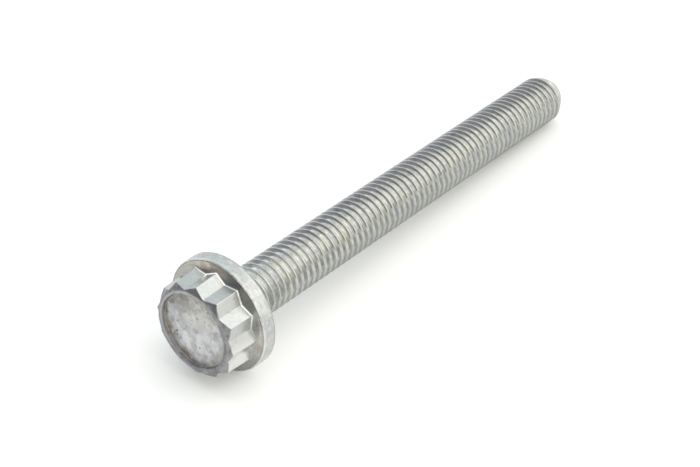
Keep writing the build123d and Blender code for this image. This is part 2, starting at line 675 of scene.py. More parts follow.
@dataclass(frozen=True)
class Flange:
    """The round flange: a low cone on top, a bevelled rim and a flat bearing face."""

    reach: float = 8.70
    face_reach: float = 8.5055
    edge_height: float = 2.3
    slope: float = 14.0
    bevel: float = 0.195
    edge_rounding: float = 0.07
    cone_lead: float = 0.2  # of the cone, turned with the rim
    face_lead: float = 0.1  # of the bearing face, turned with the rim
    face_reaches: tuple[float, ...] = (7.6, 6.6, 5.6, 4.9)  # the bearing face's rings
    longest_step: float = 0.18
    cone_rows: int = 14
    cone_gap: float = 0.02  # between the cone's last ring and the rim's edge
    sink: float = 0.012  # half the most that the cone's ripple takes away
    calm: Pair = (0.2, 0.85)  # of the cone, outside which its ripple dies away
    wear: float = 0.0012  # half the most that the rim's ripple takes away, as a share
    ripple: Ripple = Ripple(seed=21, wavelength=2.6)

    def top_height(self, plane: Array) -> Array:
        """Give the cone's height: the rim's, plus the reach inside it times the slope."""
        reach = np.linalg.norm(plane, axis=-1)
        return self.edge_height + (self.face_reach - reach) * math.tan(math.radians(self.slope))

    def top(self, foot: Array, angles: Array) -> Array:
        """Work out the rings of the cone between the drive's foot and the rim.

        Radius and angle both slide from the foot's to the rim's, so that columns that
        crowd at the drive's ridges are even at the rim.

        Args:
            foot: the ring at the drive's foot, as (up, side, height).
            angles: the even angles of the columns at the rim.

        Returns:
            Rows of rings as (up, side, height), without the foot's.
        """
        share = (np.arange(1, self.cone_rows + 1) / self.cone_rows)[:, None]
        reach = np.linalg.norm(foot[:, :2], axis=-1)
        turn = np.arctan2(foot[:, 1], foot[:, 0])
        lag = (angles - turn + math.pi) % math.tau - math.pi
        radius = reach + (self.face_reach - self.cone_gap - reach) * share
        plane = unit(turn + lag * share) * radius[..., None]
        heights = self.top_height(plane)
        start, end = self.calm
        sink = self.sink * eased(0.0, start, share) * (1 - eased(end, 1.0, share))
        return raised(plane, heights - sink * self.ripple.depth(raised(plane, heights)))

    def rim(self, angles: Array) -> Array:
        """Turn the rim's profile: the bevels and the round side, slightly uneven.

        Args:
            angles: the columns' angles in radians.

        Returns:
            Rows of rings as (up, side, height).
        """
        fall = math.tan(math.radians(self.slope)) * self.cone_lead
        under = self.reach - self.bevel
        corners = [
            (self.face_reach - self.cone_lead, self.edge_height + fall, 0.0, 0),
            (self.face_reach, self.edge_height, self.edge_rounding, 2),
            (self.reach, self.edge_height - self.bevel, self.edge_rounding, 3),
            (self.reach, self.bevel, self.edge_rounding, 3),
            (under, 0.0, self.edge_rounding, 2),
            (under - self.face_lead, 0.0, 0.0, 0),
        ]
        profile = spread(rounded_profile(corners), self.longest_step)[1:]
        ring = revolved(profile, angles)
        side = eased(self.face_reach, self.reach, profile[:, :1])
        dent = 1 - self.wear * side * self.ripple.depth(ring)
        return raised(ring[..., :2] * dent[..., None], ring[..., 2])

    def face(self, angles: Array) -> Array:
        """Work out the rings of the flat bearing face, inwards."""
        reaches = np.array(self.face_reaches)
        return revolved(np.stack([reaches, 0 * reaches], axis=-1), angles)


@dataclass(frozen=True)
class Thread:
    """The shank: a neck, a coarse right-handed thread along its length, and a tapered point.

    The groove's form is (distance along the axis, share of the depth) on one side of its
    middle, and the other side mirrors it.
    """

    crest: float = 3.985
    root: float = 3.22
    pitch: float = 1.25
    length: float = 79.999  # a micrometre short, so that rounding keeps the skin in its box
    neck: float = 0.4
    neck_steps: int = 6
    runout: float = 2.6
    start: float = 5.67  # a groove's distance from the bearing face, at start_angle
    start_angle: float = -30.75
    point_reach: float = 2.8
    point_angle: float = 30.0
    blunt: float = 0.03  # softens the thread's meeting with the point's cone
    end_shares: tuple[float, ...] = (1.0, 0.97, 0.75, 0.5, 0.25, 0.0)  # the flat end's rings
    columns: int = 72
    flank: tuple[Pair, ...] = (
        (0.070, 0.988), (0.135, 0.930), (0.490, 0.125), (0.550, 0.010), (0.590, 0.0),
    )

    @property
    def form(self) -> Array:
        """Give the whole groove's form, as (distance along the axis, share of the depth)."""
        flank = np.array(self.flank)
        return np.concatenate([flank[::-1] * (-1, 1), [(0.0, 1.0)], flank])

    def angles(self, turn: float) -> Array:
        """Give the columns' angles in radians, from the drive's first ridge."""
        return math.radians(turn) + np.arange(self.columns) * math.tau / self.columns

    def neck_rings(self, turn: float) -> Array:
        """Turn the fillet between the bearing face and the shank: a quarter circle.

        Args:
            turn: the angle of the first column in degrees.

        Returns:
            Rows of rings as (up, side, height).
        """
        swing = np.linspace(0.0, math.pi / 2, self.neck_steps + 1)
        arc = self.neck * (1 - np.stack([np.sin(swing), np.cos(swing)], axis=-1))
        return revolved((self.crest, 0.0) + arc * (1, -1), self.angles(turn))

    def helix(self, turn: float) -> Array:
        """Work out the thread as rows that follow its helix.

        A row sits at a fixed place in the thread's form. Its distance from the bearing face
        falls by one pitch in a turn, and is held between the neck and the point's end. The
        radius is the crest's less the form's depth, which grows along the run-out, and never
        more than the point's cone.

        Args:
            turn: the angle of the first column in degrees.

        Returns:
            Rows of points as (up, side, height).
        """
        angles = self.angles(turn)
        along, share = self.form.T
        groove = self.start - self.pitch * (turn - self.start_angle) / 360
        first = math.floor((self.neck - self.pitch - groove) / self.pitch) - 1
        last = math.ceil((self.length + self.pitch - groove) / self.pitch) + 1
        middles = groove + self.pitch * np.arange(first, last + 1)
        depths = np.tile(share * (self.crest - self.root), len(middles))[:, None]
        fall = self.pitch * (angles - angles[0]) / math.tau
        distance = (middles[:, None] + along).reshape(-1, 1) - fall
        distance = np.clip(distance, self.neck, self.length)
        cut = self.crest - depths * eased(self.neck, self.neck + self.runout, distance)
        slope = math.tan(math.radians(self.point_angle))
        cone = self.point_reach + (self.length - distance) * slope
        reach = (cut + cone - np.sqrt((cut - cone) ** 2 + self.blunt**2)) / 2
        reach = np.where(distance >= self.length, self.point_reach, reach)
        reach = np.where(distance <= self.neck, self.crest, reach)
        return raised(reach[..., None] * unit(angles), -distance)

    def cover(self, skin: Skin, turn: float) -> None:
        """Add the threaded surface: rows join the ones a pitch back where a turn closes.

        Args:
            skin: the skin to add to.
            turn: the angle of the first column in degrees.
        """
        rows = skin.add(self.helix(turn))
        skin.cover([rows[:-1, :-1], rows[1:, :-1], rows[1:, 1:], rows[:-1, 1:]], Zone.THREAD)
        back = len(self.form)
        late, early = rows[back:, -1], rows[:-back, 0]
        skin.cover([late[:-1], late[1:], early[1:], early[:-1]], Zone.THREAD)

    def end_rings(self, turn: float) -> Array:
        """Work out the flat end of the point as rings, the last of them its centre."""
        profile = [(self.point_reach * share, -self.length) for share in self.end_shares]
        return revolved(np.array(profile), self.angles(turn))


@dataclass(frozen=True)
class FlangeBolt:
    """The whole bolt, one forging: its parts' surfaces joined into one closed skin."""

    crown: Crown = Crown()
    drive: Drive = Drive()
    flange: Flange = Flange()
    thread: Thread = Thread()
    chamfer_steps: int = 5
    crown_steps: int = 4
    foot_steps: int = 5
    wall_rows: int = 12
    wall_end: float = 0.02  # of the wall, kept narrow beside its roundings

    def head(self, skin: Skin) -> Array:
        """Cover the head, from the dish's centre to the bearing face's outer edge.

        Args:
            skin: the skin to add to.

        Returns:
            The point numbers of the last ring.
        """
        crown, drive, flange = self.crown, self.drive, self.flange
        angles = drive.bearings
        ring = crown.rings(angles)
        edge = drive.corner(
            crown.chamfer_height, drive.crown_radius, self.crown_steps, hollow=False
        )
        foot = drive.corner(flange.top_height, drive.foot_radius, self.foot_steps, hollow=True)
        foot = foot[::-1]
        foot[-1, :, 2] = flange.top_height(foot[-1, :, :2])
        share = np.linspace(0.0, 1.0, self.chamfer_steps + 1)[1:-1, None, None]
        plane = ring[-1, :, :2] + share * (edge[0, :, :2] - ring[-1, :, :2])
        chamfer = raised(plane, crown.chamfer_height(plane))
        share = np.linspace(0.0, 1.0, self.wall_rows)
        share[0], share[-1] = self.wall_end, 1 - self.wall_end
        wall = edge[-1] + share[:, None, None] * (foot[0] - edge[-1])
        stretches = (
            (Zone.DISH, np.concatenate([crown.floor(angles), ring[: crown.dish_rings]])),
            (Zone.CROWN, np.concatenate([ring[crown.dish_rings :], chamfer, edge])),
            (Zone.WALLS, np.concatenate([wall, foot])),
            (Zone.FLANGE_TOP, flange.top(foot[-1], angles)),
            (Zone.RIM, flange.rim(angles)),
        )
        last = np.full(drive.columns, skin.add(crown.dished(np.zeros(2))))
        for zone, rings in stretches:
            last = skin.run(last, rings, zone)
        return last

    def shank(self, skin: Skin, outer: Array) -> None:
        """Cover the bearing face, the neck, the thread and the point's end.

        Args:
            skin: the skin to add to.
            outer: the point numbers of the bearing face's outer ring.
        """
        turn = self.drive.turn
        inner = skin.run(outer, self.flange.face(self.drive.bearings), Zone.BEARING)
        neck_rows = skin.add(self.thread.neck_rings(turn))
        skin.thin_out(inner, neck_rows[0], Zone.BEARING)
        skin.bridge(neck_rows, Zone.THREAD)
        self.thread.cover(skin, turn)
        skin.bridge(skin.add(self.thread.end_rings(turn)), Zone.THREAD)

    def build(self, lie: Lie) -> bpy.types.Object:
        """Build the bolt's one piece at the origin, with where it lies in its mesh.

        Args:
            lie: where the bolt lies.

        Returns:
            The piece.
        """
        skin = Skin()
        self.shank(skin, self.head(skin))
        return shown(PIECE, skin.mesh(PIECE, lie.place))


# ---- Finishes, and the light and shade painted into them ----


class Graph:
    """A material's or world's node tree, which every node is added through."""

    def __init__(self, tree: bpy.types.NodeTree) -> None:
        """Empty a node tree and keep it."""
        self.tree = tree
        tree.nodes.clear()

    def node(
        self, kind: str, settings: Settings | None = None, inputs: Inputs | None = None
    ) -> bpy.types.Node:
        """Add one node.

        Args:
            kind: the node's type, such as "ShaderNodeMath".
            settings: its properties, set before its sockets.
            inputs: values, Signals or sockets for its inputs, by name or number.

        Returns:
            The node.
        """
        node = self.tree.nodes.new(kind)
        for name, value in (settings or {}).items():
            setattr(node, name, value)
        for key, value in (inputs or {}).items():
            self.feed(node.inputs[key], value)
        return node

    def feed(self, socket: bpy.types.NodeSocket, value: Any) -> None:
        """Link a socket to a Signal or a socket, or set it to a plain value.

        Args:
            socket: the input.
            value: a Signal, a socket or a plain value.
        """
        source = value.socket if isinstance(value, Signal) else value
        if isinstance(source, bpy.types.NodeSocket):
            self.tree.links.new(source, socket)
        elif socket.type == "RGBA" and len(source) == 3:
            socket.default_value = (*source, 1.0)
        else:
            socket.default_value = source

    def signal(
        self,
        kind: str,
        settings: Settings | None = None,
        inputs: Inputs | None = None,
        output: str | int = 0,
    ) -> "Signal":
        """Add one node and wrap one of its outputs."""
        return Signal(self, self.node(kind, settings, inputs).outputs[output])

    def finish(self, kind: str, shader: bpy.types.Node) -> None:
        """Add the tree's output, for a Material or a World, and feed a shader into it."""
        self.node(f"ShaderNodeOutput{kind}", None, {"Surface": shader.outputs[0]})

    def coordinates(self, kind: str) -> "Signal":
        """Give the shaded place in one of Blender's coordinates, such as Object."""
        return self.signal("ShaderNodeTexCoord", output=kind)

    def scaled(self, vector: Any, by: Any) -> "Signal":
        """Multiply a vector by a number."""
        settings = {"operation": "SCALE"}
        return self.signal("ShaderNodeVectorMath", settings, {0: vector, "Scale": by})

    def mix(self, share: "Signal | float", first: Any, second: Any) -> "Signal":
        """Mix two colours: the first where share is 0 and the second where it is 1."""
        settings = {"data_type": "RGBA", "clamp_factor": True}
        return self.signal("ShaderNodeMix", settings, {0: share, 6: first, 7: second}, 2)

    def noise(
        self,
        place: "Signal",
        scale: float,
        detail: float = 2.0,
        rough: float = 0.5,
        bend: float = 0.0,
    ) -> "Signal":
        """Add a noise of a given number of features per unit of its place, from 0 to 1.

        Args:
            place: where the noise is taken.
            scale: its features per unit of the place.
            detail: how many finer layers it has.
            rough: how strong each layer is beside the one before it.
            bend: how far the place is bent by a noise of its own.

        Returns:
            The noise.
        """
        settings = {"noise_dimensions": "3D", "normalize": True}
        inputs: Inputs = {"Vector": place, "Scale": scale, "Detail": detail}
        inputs |= {"Roughness": rough, "Distortion": bend}
        return self.signal("ShaderNodeTexNoise", settings, inputs)


def operator(operation: str, swapped: bool = False) -> Callable[["Signal", Any], "Signal"]:
    """Make one of a Signal's operators, that takes its two values as they come or swapped.

    Args:
        operation: the Math node's operation.
        swapped: True to swap the two values.

    Returns:
        The operator's method.
    """

    def apply(this: "Signal", other: Any) -> "Signal":
        """Add a Math node of both values."""
        return this.math(operation, *((other, this) if swapped else (this, other)))

    return apply


@dataclass(frozen=True)
class Signal:
    """A shader number or vector that Python's operators work on, one Math node for each."""

    graph: Graph
    socket: bpy.types.NodeSocket

    def math(self, operation: str, *values: Any) -> "Signal":
        """Add a Math node of these values, which may be Signals or numbers."""
        settings = {"operation": operation}
        return self.graph.signal("ShaderNodeMath", settings, dict(enumerate(values)))

    __add__ = __radd__ = operator("ADD")
    __mul__ = __rmul__ = operator("MULTIPLY")
    __sub__ = operator("SUBTRACT")
    __rsub__ = operator("SUBTRACT", swapped=True)
    __truediv__ = operator("DIVIDE")
    __pow__ = operator("POWER")

    def rise(self, low: float, high: float, bottom: float = 0.0, top: float = 1.0) -> "Signal":
        """Go smoothly from bottom at low to top at high, and stay there.

        Args:
            low: where the rise starts.
            high: where it ends.
            bottom: the value at low.
            top: the value at high.

        Returns:
            The value, on the way from bottom to top.
        """
        settings = {"interpolation_type": "SMOOTHSTEP", "clamp": True}
        inputs = {"Value": self, "From Min": low, "From Max": high, "To Min": bottom}
        inputs["To Max"] = top
        return self.graph.signal("ShaderNodeMapRange", settings, inputs)

    def size(self) -> "Signal":
        """Drop the sign."""
        return self.math("ABSOLUTE", self)

    def dot(self, other: Sequence[float]) -> "Signal":
        """Give a vector's part along a fixed direction.

        Args:
            other: the direction.

        Returns:
            The part, a number.
        """
        settings = {"operation": "DOT_PRODUCT"}
        inputs = {0: self, 1: tuple(other)}
        return self.graph.signal("ShaderNodeVectorMath", settings, inputs, "Value")


def blank_material(name: str) -> tuple[bpy.types.Material, Graph]:
    """Make a material, and the graph of its emptied node tree.

    Args:
        name: the material's name.

    Returns:
        The material and its graph.
    """
    material = bpy.data.materials.new(name)
    material.use_nodes = True
    return material, Graph(material.node_tree)


FULL_PART = 0.4  # of a band's part of the turn, which has all of the band
SMALLEST = 1e-6  # added to a radius squared, so that no radius is 0


class Measure(Enum):
    """What a band goes by: a distance on the bolt, in mm, by its name in a Spot."""

    RADIUS = "radius"  # away from the bolt's axis
    HEIGHT = "height"  # above the bearing face
    LIFT = "lift"  # above the flange's cone


@dataclass(frozen=True)
class Spot:
    """Where the shaded point lies on the bolt, in mm, for patterns that follow its shape."""

    graph: Graph
    point: Signal
    cosine: Signal
    sine: Signal
    radius: Signal
    height: Signal
    lift: Signal

    @classmethod
    def on(cls, graph: Graph, lie: Lie, flange: Flange) -> "Spot":
        """Work the place out from Object coordinates.

        Args:
            graph: the material's graph.
            lie: where the bolt lies.
            flange: the flange, whose cone the lift is measured from.

        Returns:
            The place.
        """
        point = graph.scaled(graph.coordinates("Object"), 1 / MM)
        up, side, height = (
            point.dot(way) - float(lie.bearing @ way) / MM for way in (lie.up, lie.side, lie.head)
        )
        radius = (up * up + side * side + SMALLEST) ** 0.5
        fall = math.tan(math.radians(flange.slope))
        cone = flange.edge_height + flange.face_reach * fall
        lift = height + radius * fall - cone
        return cls(graph, point, up / radius, side / radius, radius, height, lift)

    def by(self, measure: Measure) -> Signal:
        """Give one of the distances that bands go by."""
        return getattr(self, measure.value)

    def strokes(self, around: float, outward: float, along: float) -> Signal:
        """Give a place for noise that is finer or coarser each way.

        Args:
            around: features for each mm of a circle 1 mm from the axis.
            outward: features for each mm away from the axis.
            along: features for each mm along the axis.

        Returns:
            The place, as a vector.
        """
        depth = self.radius * outward + self.height * along
        parts = {"X": self.cosine * around, "Y": self.sine * around, "Z": depth}
        return self.graph.signal("ShaderNodeCombineXYZ", None, parts)


@dataclass(frozen=True)
class Band:
    """A stretch of a surface with a colour and gloss over the plating's, with soft ends. A few
    bands are the plating's own tone; most are painted light: painted shade, painted
    highlights and painted reflections.

    Its middle, half width and softness are in mm. It may keep to a part of the turn: the
    angle of that part's middle, and its half width to where the band is gone, in degrees;
    such a band paints the light or shade of that side of the bolt.
    """

    middle: float
    half: float
    soft: float
    colour: Colour
    amount: float = 1.0
    roughness: float = 0.0  # added to the surface's own
    part: Pair | None = None
    measure: Measure = Measure.RADIUS

    def share(self, spot: Spot) -> Signal:
        """Give the band's share: its amount in the middle, and none past its soft ends.

        Args:
            spot: the shaded point.

        Returns:
            The share, from 0 to the amount.
        """
        away = (spot.by(self.measure) - self.middle).size()
        share = away.rise(self.half, self.half + self.soft, self.amount, 0.0)
        if self.part is None:
            return share
        turn, width = (math.radians(angle) for angle in self.part)
        facing = spot.cosine * math.cos(turn) + spot.sine * math.sin(turn)
        return share * facing.rise(math.cos(width), math.cos(width * FULL_PART))


@dataclass(frozen=True)
class Stain:
    """Patches of another colour, where a noise is high."""

    colour: Colour
    scale: float
    low: float
    high: float
    amount: float
    roughness: float = 0.0  # added to the surface's own
    seed: float = 0.0
    radii: Pair | None = None

    def share(self, spot: Spot) -> Signal:
        """Give the stain's share: patches of about 1 / scale mm, that may grow with the radius.

        Args:
            spot: the shaded point.

        Returns:
            The share, from 0 to the amount.
        """
        settings = {"operation": "ADD"}
        inputs = {0: spot.point, 1: (self.seed,) * 3}
        place = spot.graph.signal("ShaderNodeVectorMath", settings, inputs)
        noise = spot.graph.noise(place, self.scale, detail=3.0, rough=0.55)
        share = noise.rise(self.low, self.high, 0.0, self.amount)
        return share if self.radii is None else share * spot.radius.rise(*self.radii)


@dataclass(frozen=True)
class Plating:
    """Zinc plate on one surface of the bolt: its colours, gloss, grain and dirt, with light and
    shade painted on.

    The colour goes between two by clouds and by strokes; bands and stains then lie over it.
    The stains are patches of dirt and tone; most bands are painted shade, painted highlights
    and painted reflections. Scales are in features a mm, and the bumps' depths in mm.
    """

    name: str
    dull: Colour
    bright: Colour
    roughness: float
    clouds: float = 0.8
    strokes: tuple[float, float, float] = (6.0, 6.0, 0.6)
    stroke_share: float = 0.5
    colour_span: Pair = (0.34, 0.66)  # of the pattern, from dull to bright
    gloss_span: Pair = (0.3, 0.7)  # of the pattern, from rough to smooth
    uneven: float = 0.12  # how far the roughness goes
    dents: float = 0.0
    dent_scale: float = 0.9
    grain: float = 0.0
    grain_scale: float = 4.0
    stroke_depth: float = 0.0
    stains: tuple[Stain, ...] = ()
    bands: tuple[Band, ...] = ()

    def material(self, lie: Lie, flange: Flange) -> bpy.types.Material:
        """Build the material.

        Args:
            lie: where the bolt lies, for patterns that follow its axis.
            flange: the flange, for patterns that follow its cone.

        Returns:
            The material.
        """
        material, graph = blank_material(self.name)
        spot = Spot.on(graph, lie, flange)
        clouds = graph.noise(spot.point, self.clouds, detail=4.0, rough=0.6, bend=0.3)
        strokes = graph.noise(spot.strokes(*self.strokes), 1.0, detail=3.0, rough=0.6)
        pattern = clouds * (1 - self.stroke_share) + strokes * self.stroke_share
        colour = graph.mix(pattern.rise(*self.colour_span), self.dull, self.bright)
        rough, smooth = self.roughness + self.uneven / 2, self.roughness - self.uneven / 2
        roughness = pattern.rise(*self.gloss_span, rough, smooth)
        for layer in (*self.bands, *self.stains):
            share = layer.share(spot)
            colour = graph.mix(share, colour, layer.colour)
            if layer.roughness:
                roughness = roughness + share * layer.roughness
        dents = graph.noise(spot.point, self.dent_scale)
        grain = graph.noise(spot.point, self.grain_scale, detail=3.0, rough=0.6)
        relief = dents * self.dents + grain * self.grain + strokes * self.stroke_depth
        bump = {"Height": relief, "Distance": MM, "Strength": 1.0}
        normal = graph.signal("ShaderNodeBump", None, bump)
        metal = {"Base Color": colour, "Metallic": 1.0, "Roughness": roughness, "Normal": normal}
        graph.finish("Material", graph.node("ShaderNodeBsdfPrincipled", None, metal))
        return material


PLATINGS: dict[Zone, Plating] = {
    Zone.DISH: Plating(
        "zinc_dish", (0.48, 0.48, 0.50), (0.79, 0.79, 0.80), 0.42,
        clouds=0.50, stroke_share=0.0, uneven=0.16,
        dents=0.09, dent_scale=0.7, grain=0.022, grain_scale=2.8,
        bands=(
            Band(0.0, 1.6, 2.6, (0.82, 0.82, 0.84), 0.5),
            Band(6.0, 0.3, 1.8, (0.44, 0.42, 0.37), 0.75, 0.05),
            # Painted shade: the dish's floor darker on its upper side, under the ring.
            Band(4.4, 1.2, 1.2, (0.34, 0.32, 0.30), 0.66, 0.05, (20.0, 62.0)),
            # Painted shade: the dish's wall nearly black on about half of the turn.
            Band(6.1, 0.22, 0.12, (0.15, 0.14, 0.13), 0.85, 0.1, (115.0, 95.0)),
            # Painted shade: the lip and ring a darker grey on the side facing 275 degrees.
            Band(6.3, 0.7, 0.8, (0.50, 0.49, 0.52), 0.75, 0.05, (275.0, 75.0)),
        ),
        stains=(
            Stain((0.54, 0.54, 0.60), 0.35, 0.50, 0.62, 0.6, 0.0, 3.0),
            Stain((0.78, 0.76, 0.69), 0.33, 0.52, 0.66, 0.6, 0.0, 17.0),
            Stain((0.38, 0.37, 0.36), 0.9, 0.56, 0.70, 0.6, 0.1, 55.0),
            Stain((0.84, 0.84, 0.84), 1.2, 0.58, 0.70, 0.6, 0.0, 61.0),
            Stain((0.34, 0.29, 0.23), 0.65, 0.50, 0.66, 0.75, 0.15, 31.0, (3.4, 5.4)),
            Stain((0.12, 0.11, 0.10), 1.5, 0.655, 0.705, 0.9, 0.2, 46.0),
        ),
    ),
    Zone.CROWN: Plating(
        "zinc_crown", (0.26, 0.25, 0.28), (0.44, 0.44, 0.45), 0.44,
        clouds=0.60, stroke_share=0.25, strokes=(5.0, 1.0, 1.0), uneven=0.14,
        dents=0.28, dent_scale=0.75, grain=0.045, grain_scale=2.2,
        bands=(
            # Painted highlight: a light line along the ring's edge, on the upper side.
            Band(6.00, 0.10, 0.12, (0.60, 0.60, 0.61), 0.7, -0.08, (60.0, 110.0)),
            # Painted light: the chamfer lighter on the side facing 90 degrees.
            Band(6.60, 0.50, 0.30, (0.47, 0.47, 0.49), 0.6, 0.0, (90.0, 50.0)),
            # Painted light: the chamfer lighter on the side facing 280 degrees.
            Band(6.90, 0.60, 0.30, (0.50, 0.50, 0.51), 0.5, 0.0, (280.0, 48.0)),
        ),
        stains=(
            Stain((0.20, 0.19, 0.20), 0.9, 0.58, 0.72, 0.6, 0.1, 7.0),
            Stain((0.54, 0.54, 0.55), 1.2, 0.60, 0.72, 0.5, 0.0, 23.0),
        ),
    ),
    Zone.WALLS: Plating(
        "zinc_walls", (0.635, 0.66, 0.66), (0.705, 0.72, 0.70), 0.25,
        clouds=0.40, stroke_share=0.45, strokes=(26.0, 26.0, 0.35), uneven=0.08,
        dents=0.035, dent_scale=0.45, grain=0.004, grain_scale=3.0, stroke_depth=0.004,
        bands=(
            # Painted reflection: the walls much lighter on the side facing 235 degrees, towards
            # the table.
            Band(4.9, 2.5, 1.0, (0.94, 0.94, 0.92), 0.95, 0.0, (235.0, 45.0), Measure.HEIGHT),
            # Painted shade: a darker grey-green line in the crease at the walls' foot, all round.
            Band(0.07, 0.04, 0.07, (0.42, 0.45, 0.42), 1.0, measure=Measure.LIFT),
            # Painted highlight: a white line along the walls' foot, on the side facing 342
            # degrees.
            Band(0.07, 0.07, 0.07, (0.96, 0.97, 0.96), 1.0, -0.10, (342.0, 72.0), Measure.LIFT),
        ),
        stains=(
            Stain((0.52, 0.51, 0.48), 0.9, 0.62, 0.72, 0.6, 0.1, 5.0),
            Stain((0.76, 0.75, 0.70), 0.5, 0.56, 0.66, 0.6, 0.0, 12.0),
        ),
    ),
    Zone.FLANGE_TOP: Plating(
        "zinc_flange_top", (0.46, 0.44, 0.41), (0.64, 0.64, 0.61), 0.24,
        clouds=0.40, stroke_share=0.60, strokes=(1.8, 3.8, 0.0), uneven=0.12,
        dents=0.05, dent_scale=0.5, grain=0.008, grain_scale=3.0, stroke_depth=0.014,
        bands=(
            # Painted shade: the cone darker beside the drive's foot, all round.
            Band(6.6, 0.5, 0.7, (0.42, 0.43, 0.44), 0.5),
            # Painted shade: the cone darker on the side facing 222 degrees.
            Band(7.6, 1.2, 0.5, (0.36, 0.36, 0.36), 0.6, 0.0, (222.0, 28.0)),
            # Painted shade: the cone a darker brown on the side facing 62 degrees.
            Band(7.6, 1.2, 0.5, (0.42, 0.40, 0.37), 0.6, 0.0, (62.0, 28.0)),
            # Painted reflection: the cone a dark slate on the side facing 328 degrees.
            Band(7.6, 1.6, 0.5, (0.29, 0.32, 0.33), 0.60, 0.0, (328.0, 38.0)),
            # Painted highlight: the cone's outer part a warm light colour on the side facing 6
            # degrees.
            Band(8.1, 0.60, 0.5, (0.88, 0.80, 0.70), 0.85, 0.06, (6.0, 26.0)),
        ),
        stains=(
            Stain((0.50, 0.42, 0.34), 0.38, 0.56, 0.68, 0.5, 0.05, 9.0),
            Stain((0.32, 0.31, 0.29), 1.3, 0.60, 0.72, 0.5, 0.1, 27.0),
        ),
    ),
    Zone.RIM: Plating(
        "zinc_rim", (0.58, 0.59, 0.60), (0.83, 0.84, 0.82), 0.36,
        clouds=0.75, stroke_share=0.35, strokes=(3.0, 2.0, 3.2), uneven=0.16,
        dents=0.06, dent_scale=0.7, grain=0.016, grain_scale=2.4, stroke_depth=0.008,
        bands=(
            # Painted highlight: a white line along the top bevel, all round.
            Band(2.2, 0.09, 0.05, (0.86, 0.87, 0.86), 0.9, -0.10, measure=Measure.HEIGHT),
            Band(0.0, 0.25, 0.16, (0.48, 0.49, 0.50), 0.75, 0.05, measure=Measure.HEIGHT),
        ),
        stains=(
            Stain((0.56, 0.61, 0.65), 0.60, 0.54, 0.66, 0.7, 0.0, 2.0),
            Stain((0.74, 0.67, 0.63), 0.55, 0.56, 0.67, 0.6, 0.0, 19.0),
            Stain((0.40, 0.39, 0.37), 1.6, 0.62, 0.72, 0.6, 0.1, 33.0),
        ),
    ),
    Zone.BEARING: Plating(
        "zinc_bearing_face", (0.60, 0.61, 0.60), (0.72, 0.73, 0.72), 0.30,
        clouds=0.5, stroke_share=0.6, strokes=(2.0, 7.0, 0.0), uneven=0.12,
        dents=0.04, grain=0.006, stroke_depth=0.012,
        stains=(Stain((0.46, 0.45, 0.42), 0.8, 0.60, 0.72, 0.5, 0.1, 4.0),),
    ),
    Zone.THREAD: Plating(
        "zinc_thread", (0.60, 0.61, 0.61), (0.77, 0.77, 0.72), 0.15,
        clouds=1.1, stroke_share=0.35, strokes=(5.0, 0.0, 1.6), uneven=0.10,
        dents=0.040, dent_scale=0.8, grain=0.010, grain_scale=2.4, stroke_depth=0.006,
        bands=(
            # Painted shade: the roots darker all round.
            Band(3.1, 0.14, 0.20, (0.42, 0.42, 0.40), 0.35, 0.05),
            # Painted shade: dark lines low in the grooves, on the side facing 256 degrees.
            Band(3.62, 0.07, 0.08, (0.36, 0.38, 0.36), 0.75, 0.05, (256.0, 44.0)),
            # Painted shade: dark lines high in the grooves, on the side facing 322 degrees.
            Band(3.80, 0.08, 0.06, (0.42, 0.42, 0.40), 0.6, 0.0, (322.0, 36.0)),
            # Painted shade: the underside darker, on the side facing 222 degrees.
            Band(3.60, 0.60, 0.20, (0.42, 0.43, 0.43), 0.6, 0.0, (222.0, 30.0)),
            # Painted light: the thread lighter on its upper side, facing 30 degrees.
            Band(3.7, 0.50, 0.10, (0.82, 0.82, 0.84), 0.6, 0.10, (30.0, 46.0)),
        ),
        stains=(
            Stain((0.48, 0.51, 0.54), 0.5, 0.56, 0.68, 0.5, 0.0, 6.0),
            Stain((0.62, 0.58, 0.50), 0.7, 0.60, 0.70, 0.5, 0.0, 14.0),
            Stain((0.38, 0.38, 0.36), 1.8, 0.62, 0.72, 0.6, 0.1, 28.0),
        ),
    ),
}


# ---- Studio ----


def heading(azimuth: float, elevation: float) -> Vector:
    """Give the unit vector at an azimuth from +X towards +Y and an elevation, in degrees.

    Args:
        azimuth: the angle from +X towards +Y.
        elevation: the angle up from the level.

    Returns:
        The unit vector.
    """
    turn, lift = math.radians(azimuth), math.radians(elevation)
    level = math.cos(lift)
    return Vector((math.cos(turn) * level, math.sin(turn) * level, math.sin(lift)))


@dataclass(frozen=True)
class SoftBox:
    """A soft studio lamp: a rectangle of light, aimed at the bolt. Lengths are in metres."""

    name: str
    azimuth: float
    elevation: float
    distance: float
    width: float
    depth: float
    watts: float
    colour: Colour = (1.0, 1.0, 1.0)

    def build(self, aim: Vector) -> None:
        """Add the lamp to the scene, at its heading from the point that it is aimed at.

        Args:
            aim: the point.
        """
        lamp = bpy.data.lights.new(self.name, "AREA")
        lamp.shape = "RECTANGLE"
        lamp.size, lamp.size_y = self.width, self.depth
        lamp.energy, lamp.color = self.watts, self.colour
        holder = shown(self.name, lamp)
        towards = heading(self.azimuth, self.elevation)
        holder.location = aim + towards * self.distance
        holder.rotation_euler = towards.to_track_quat("Z", "Y").to_euler()


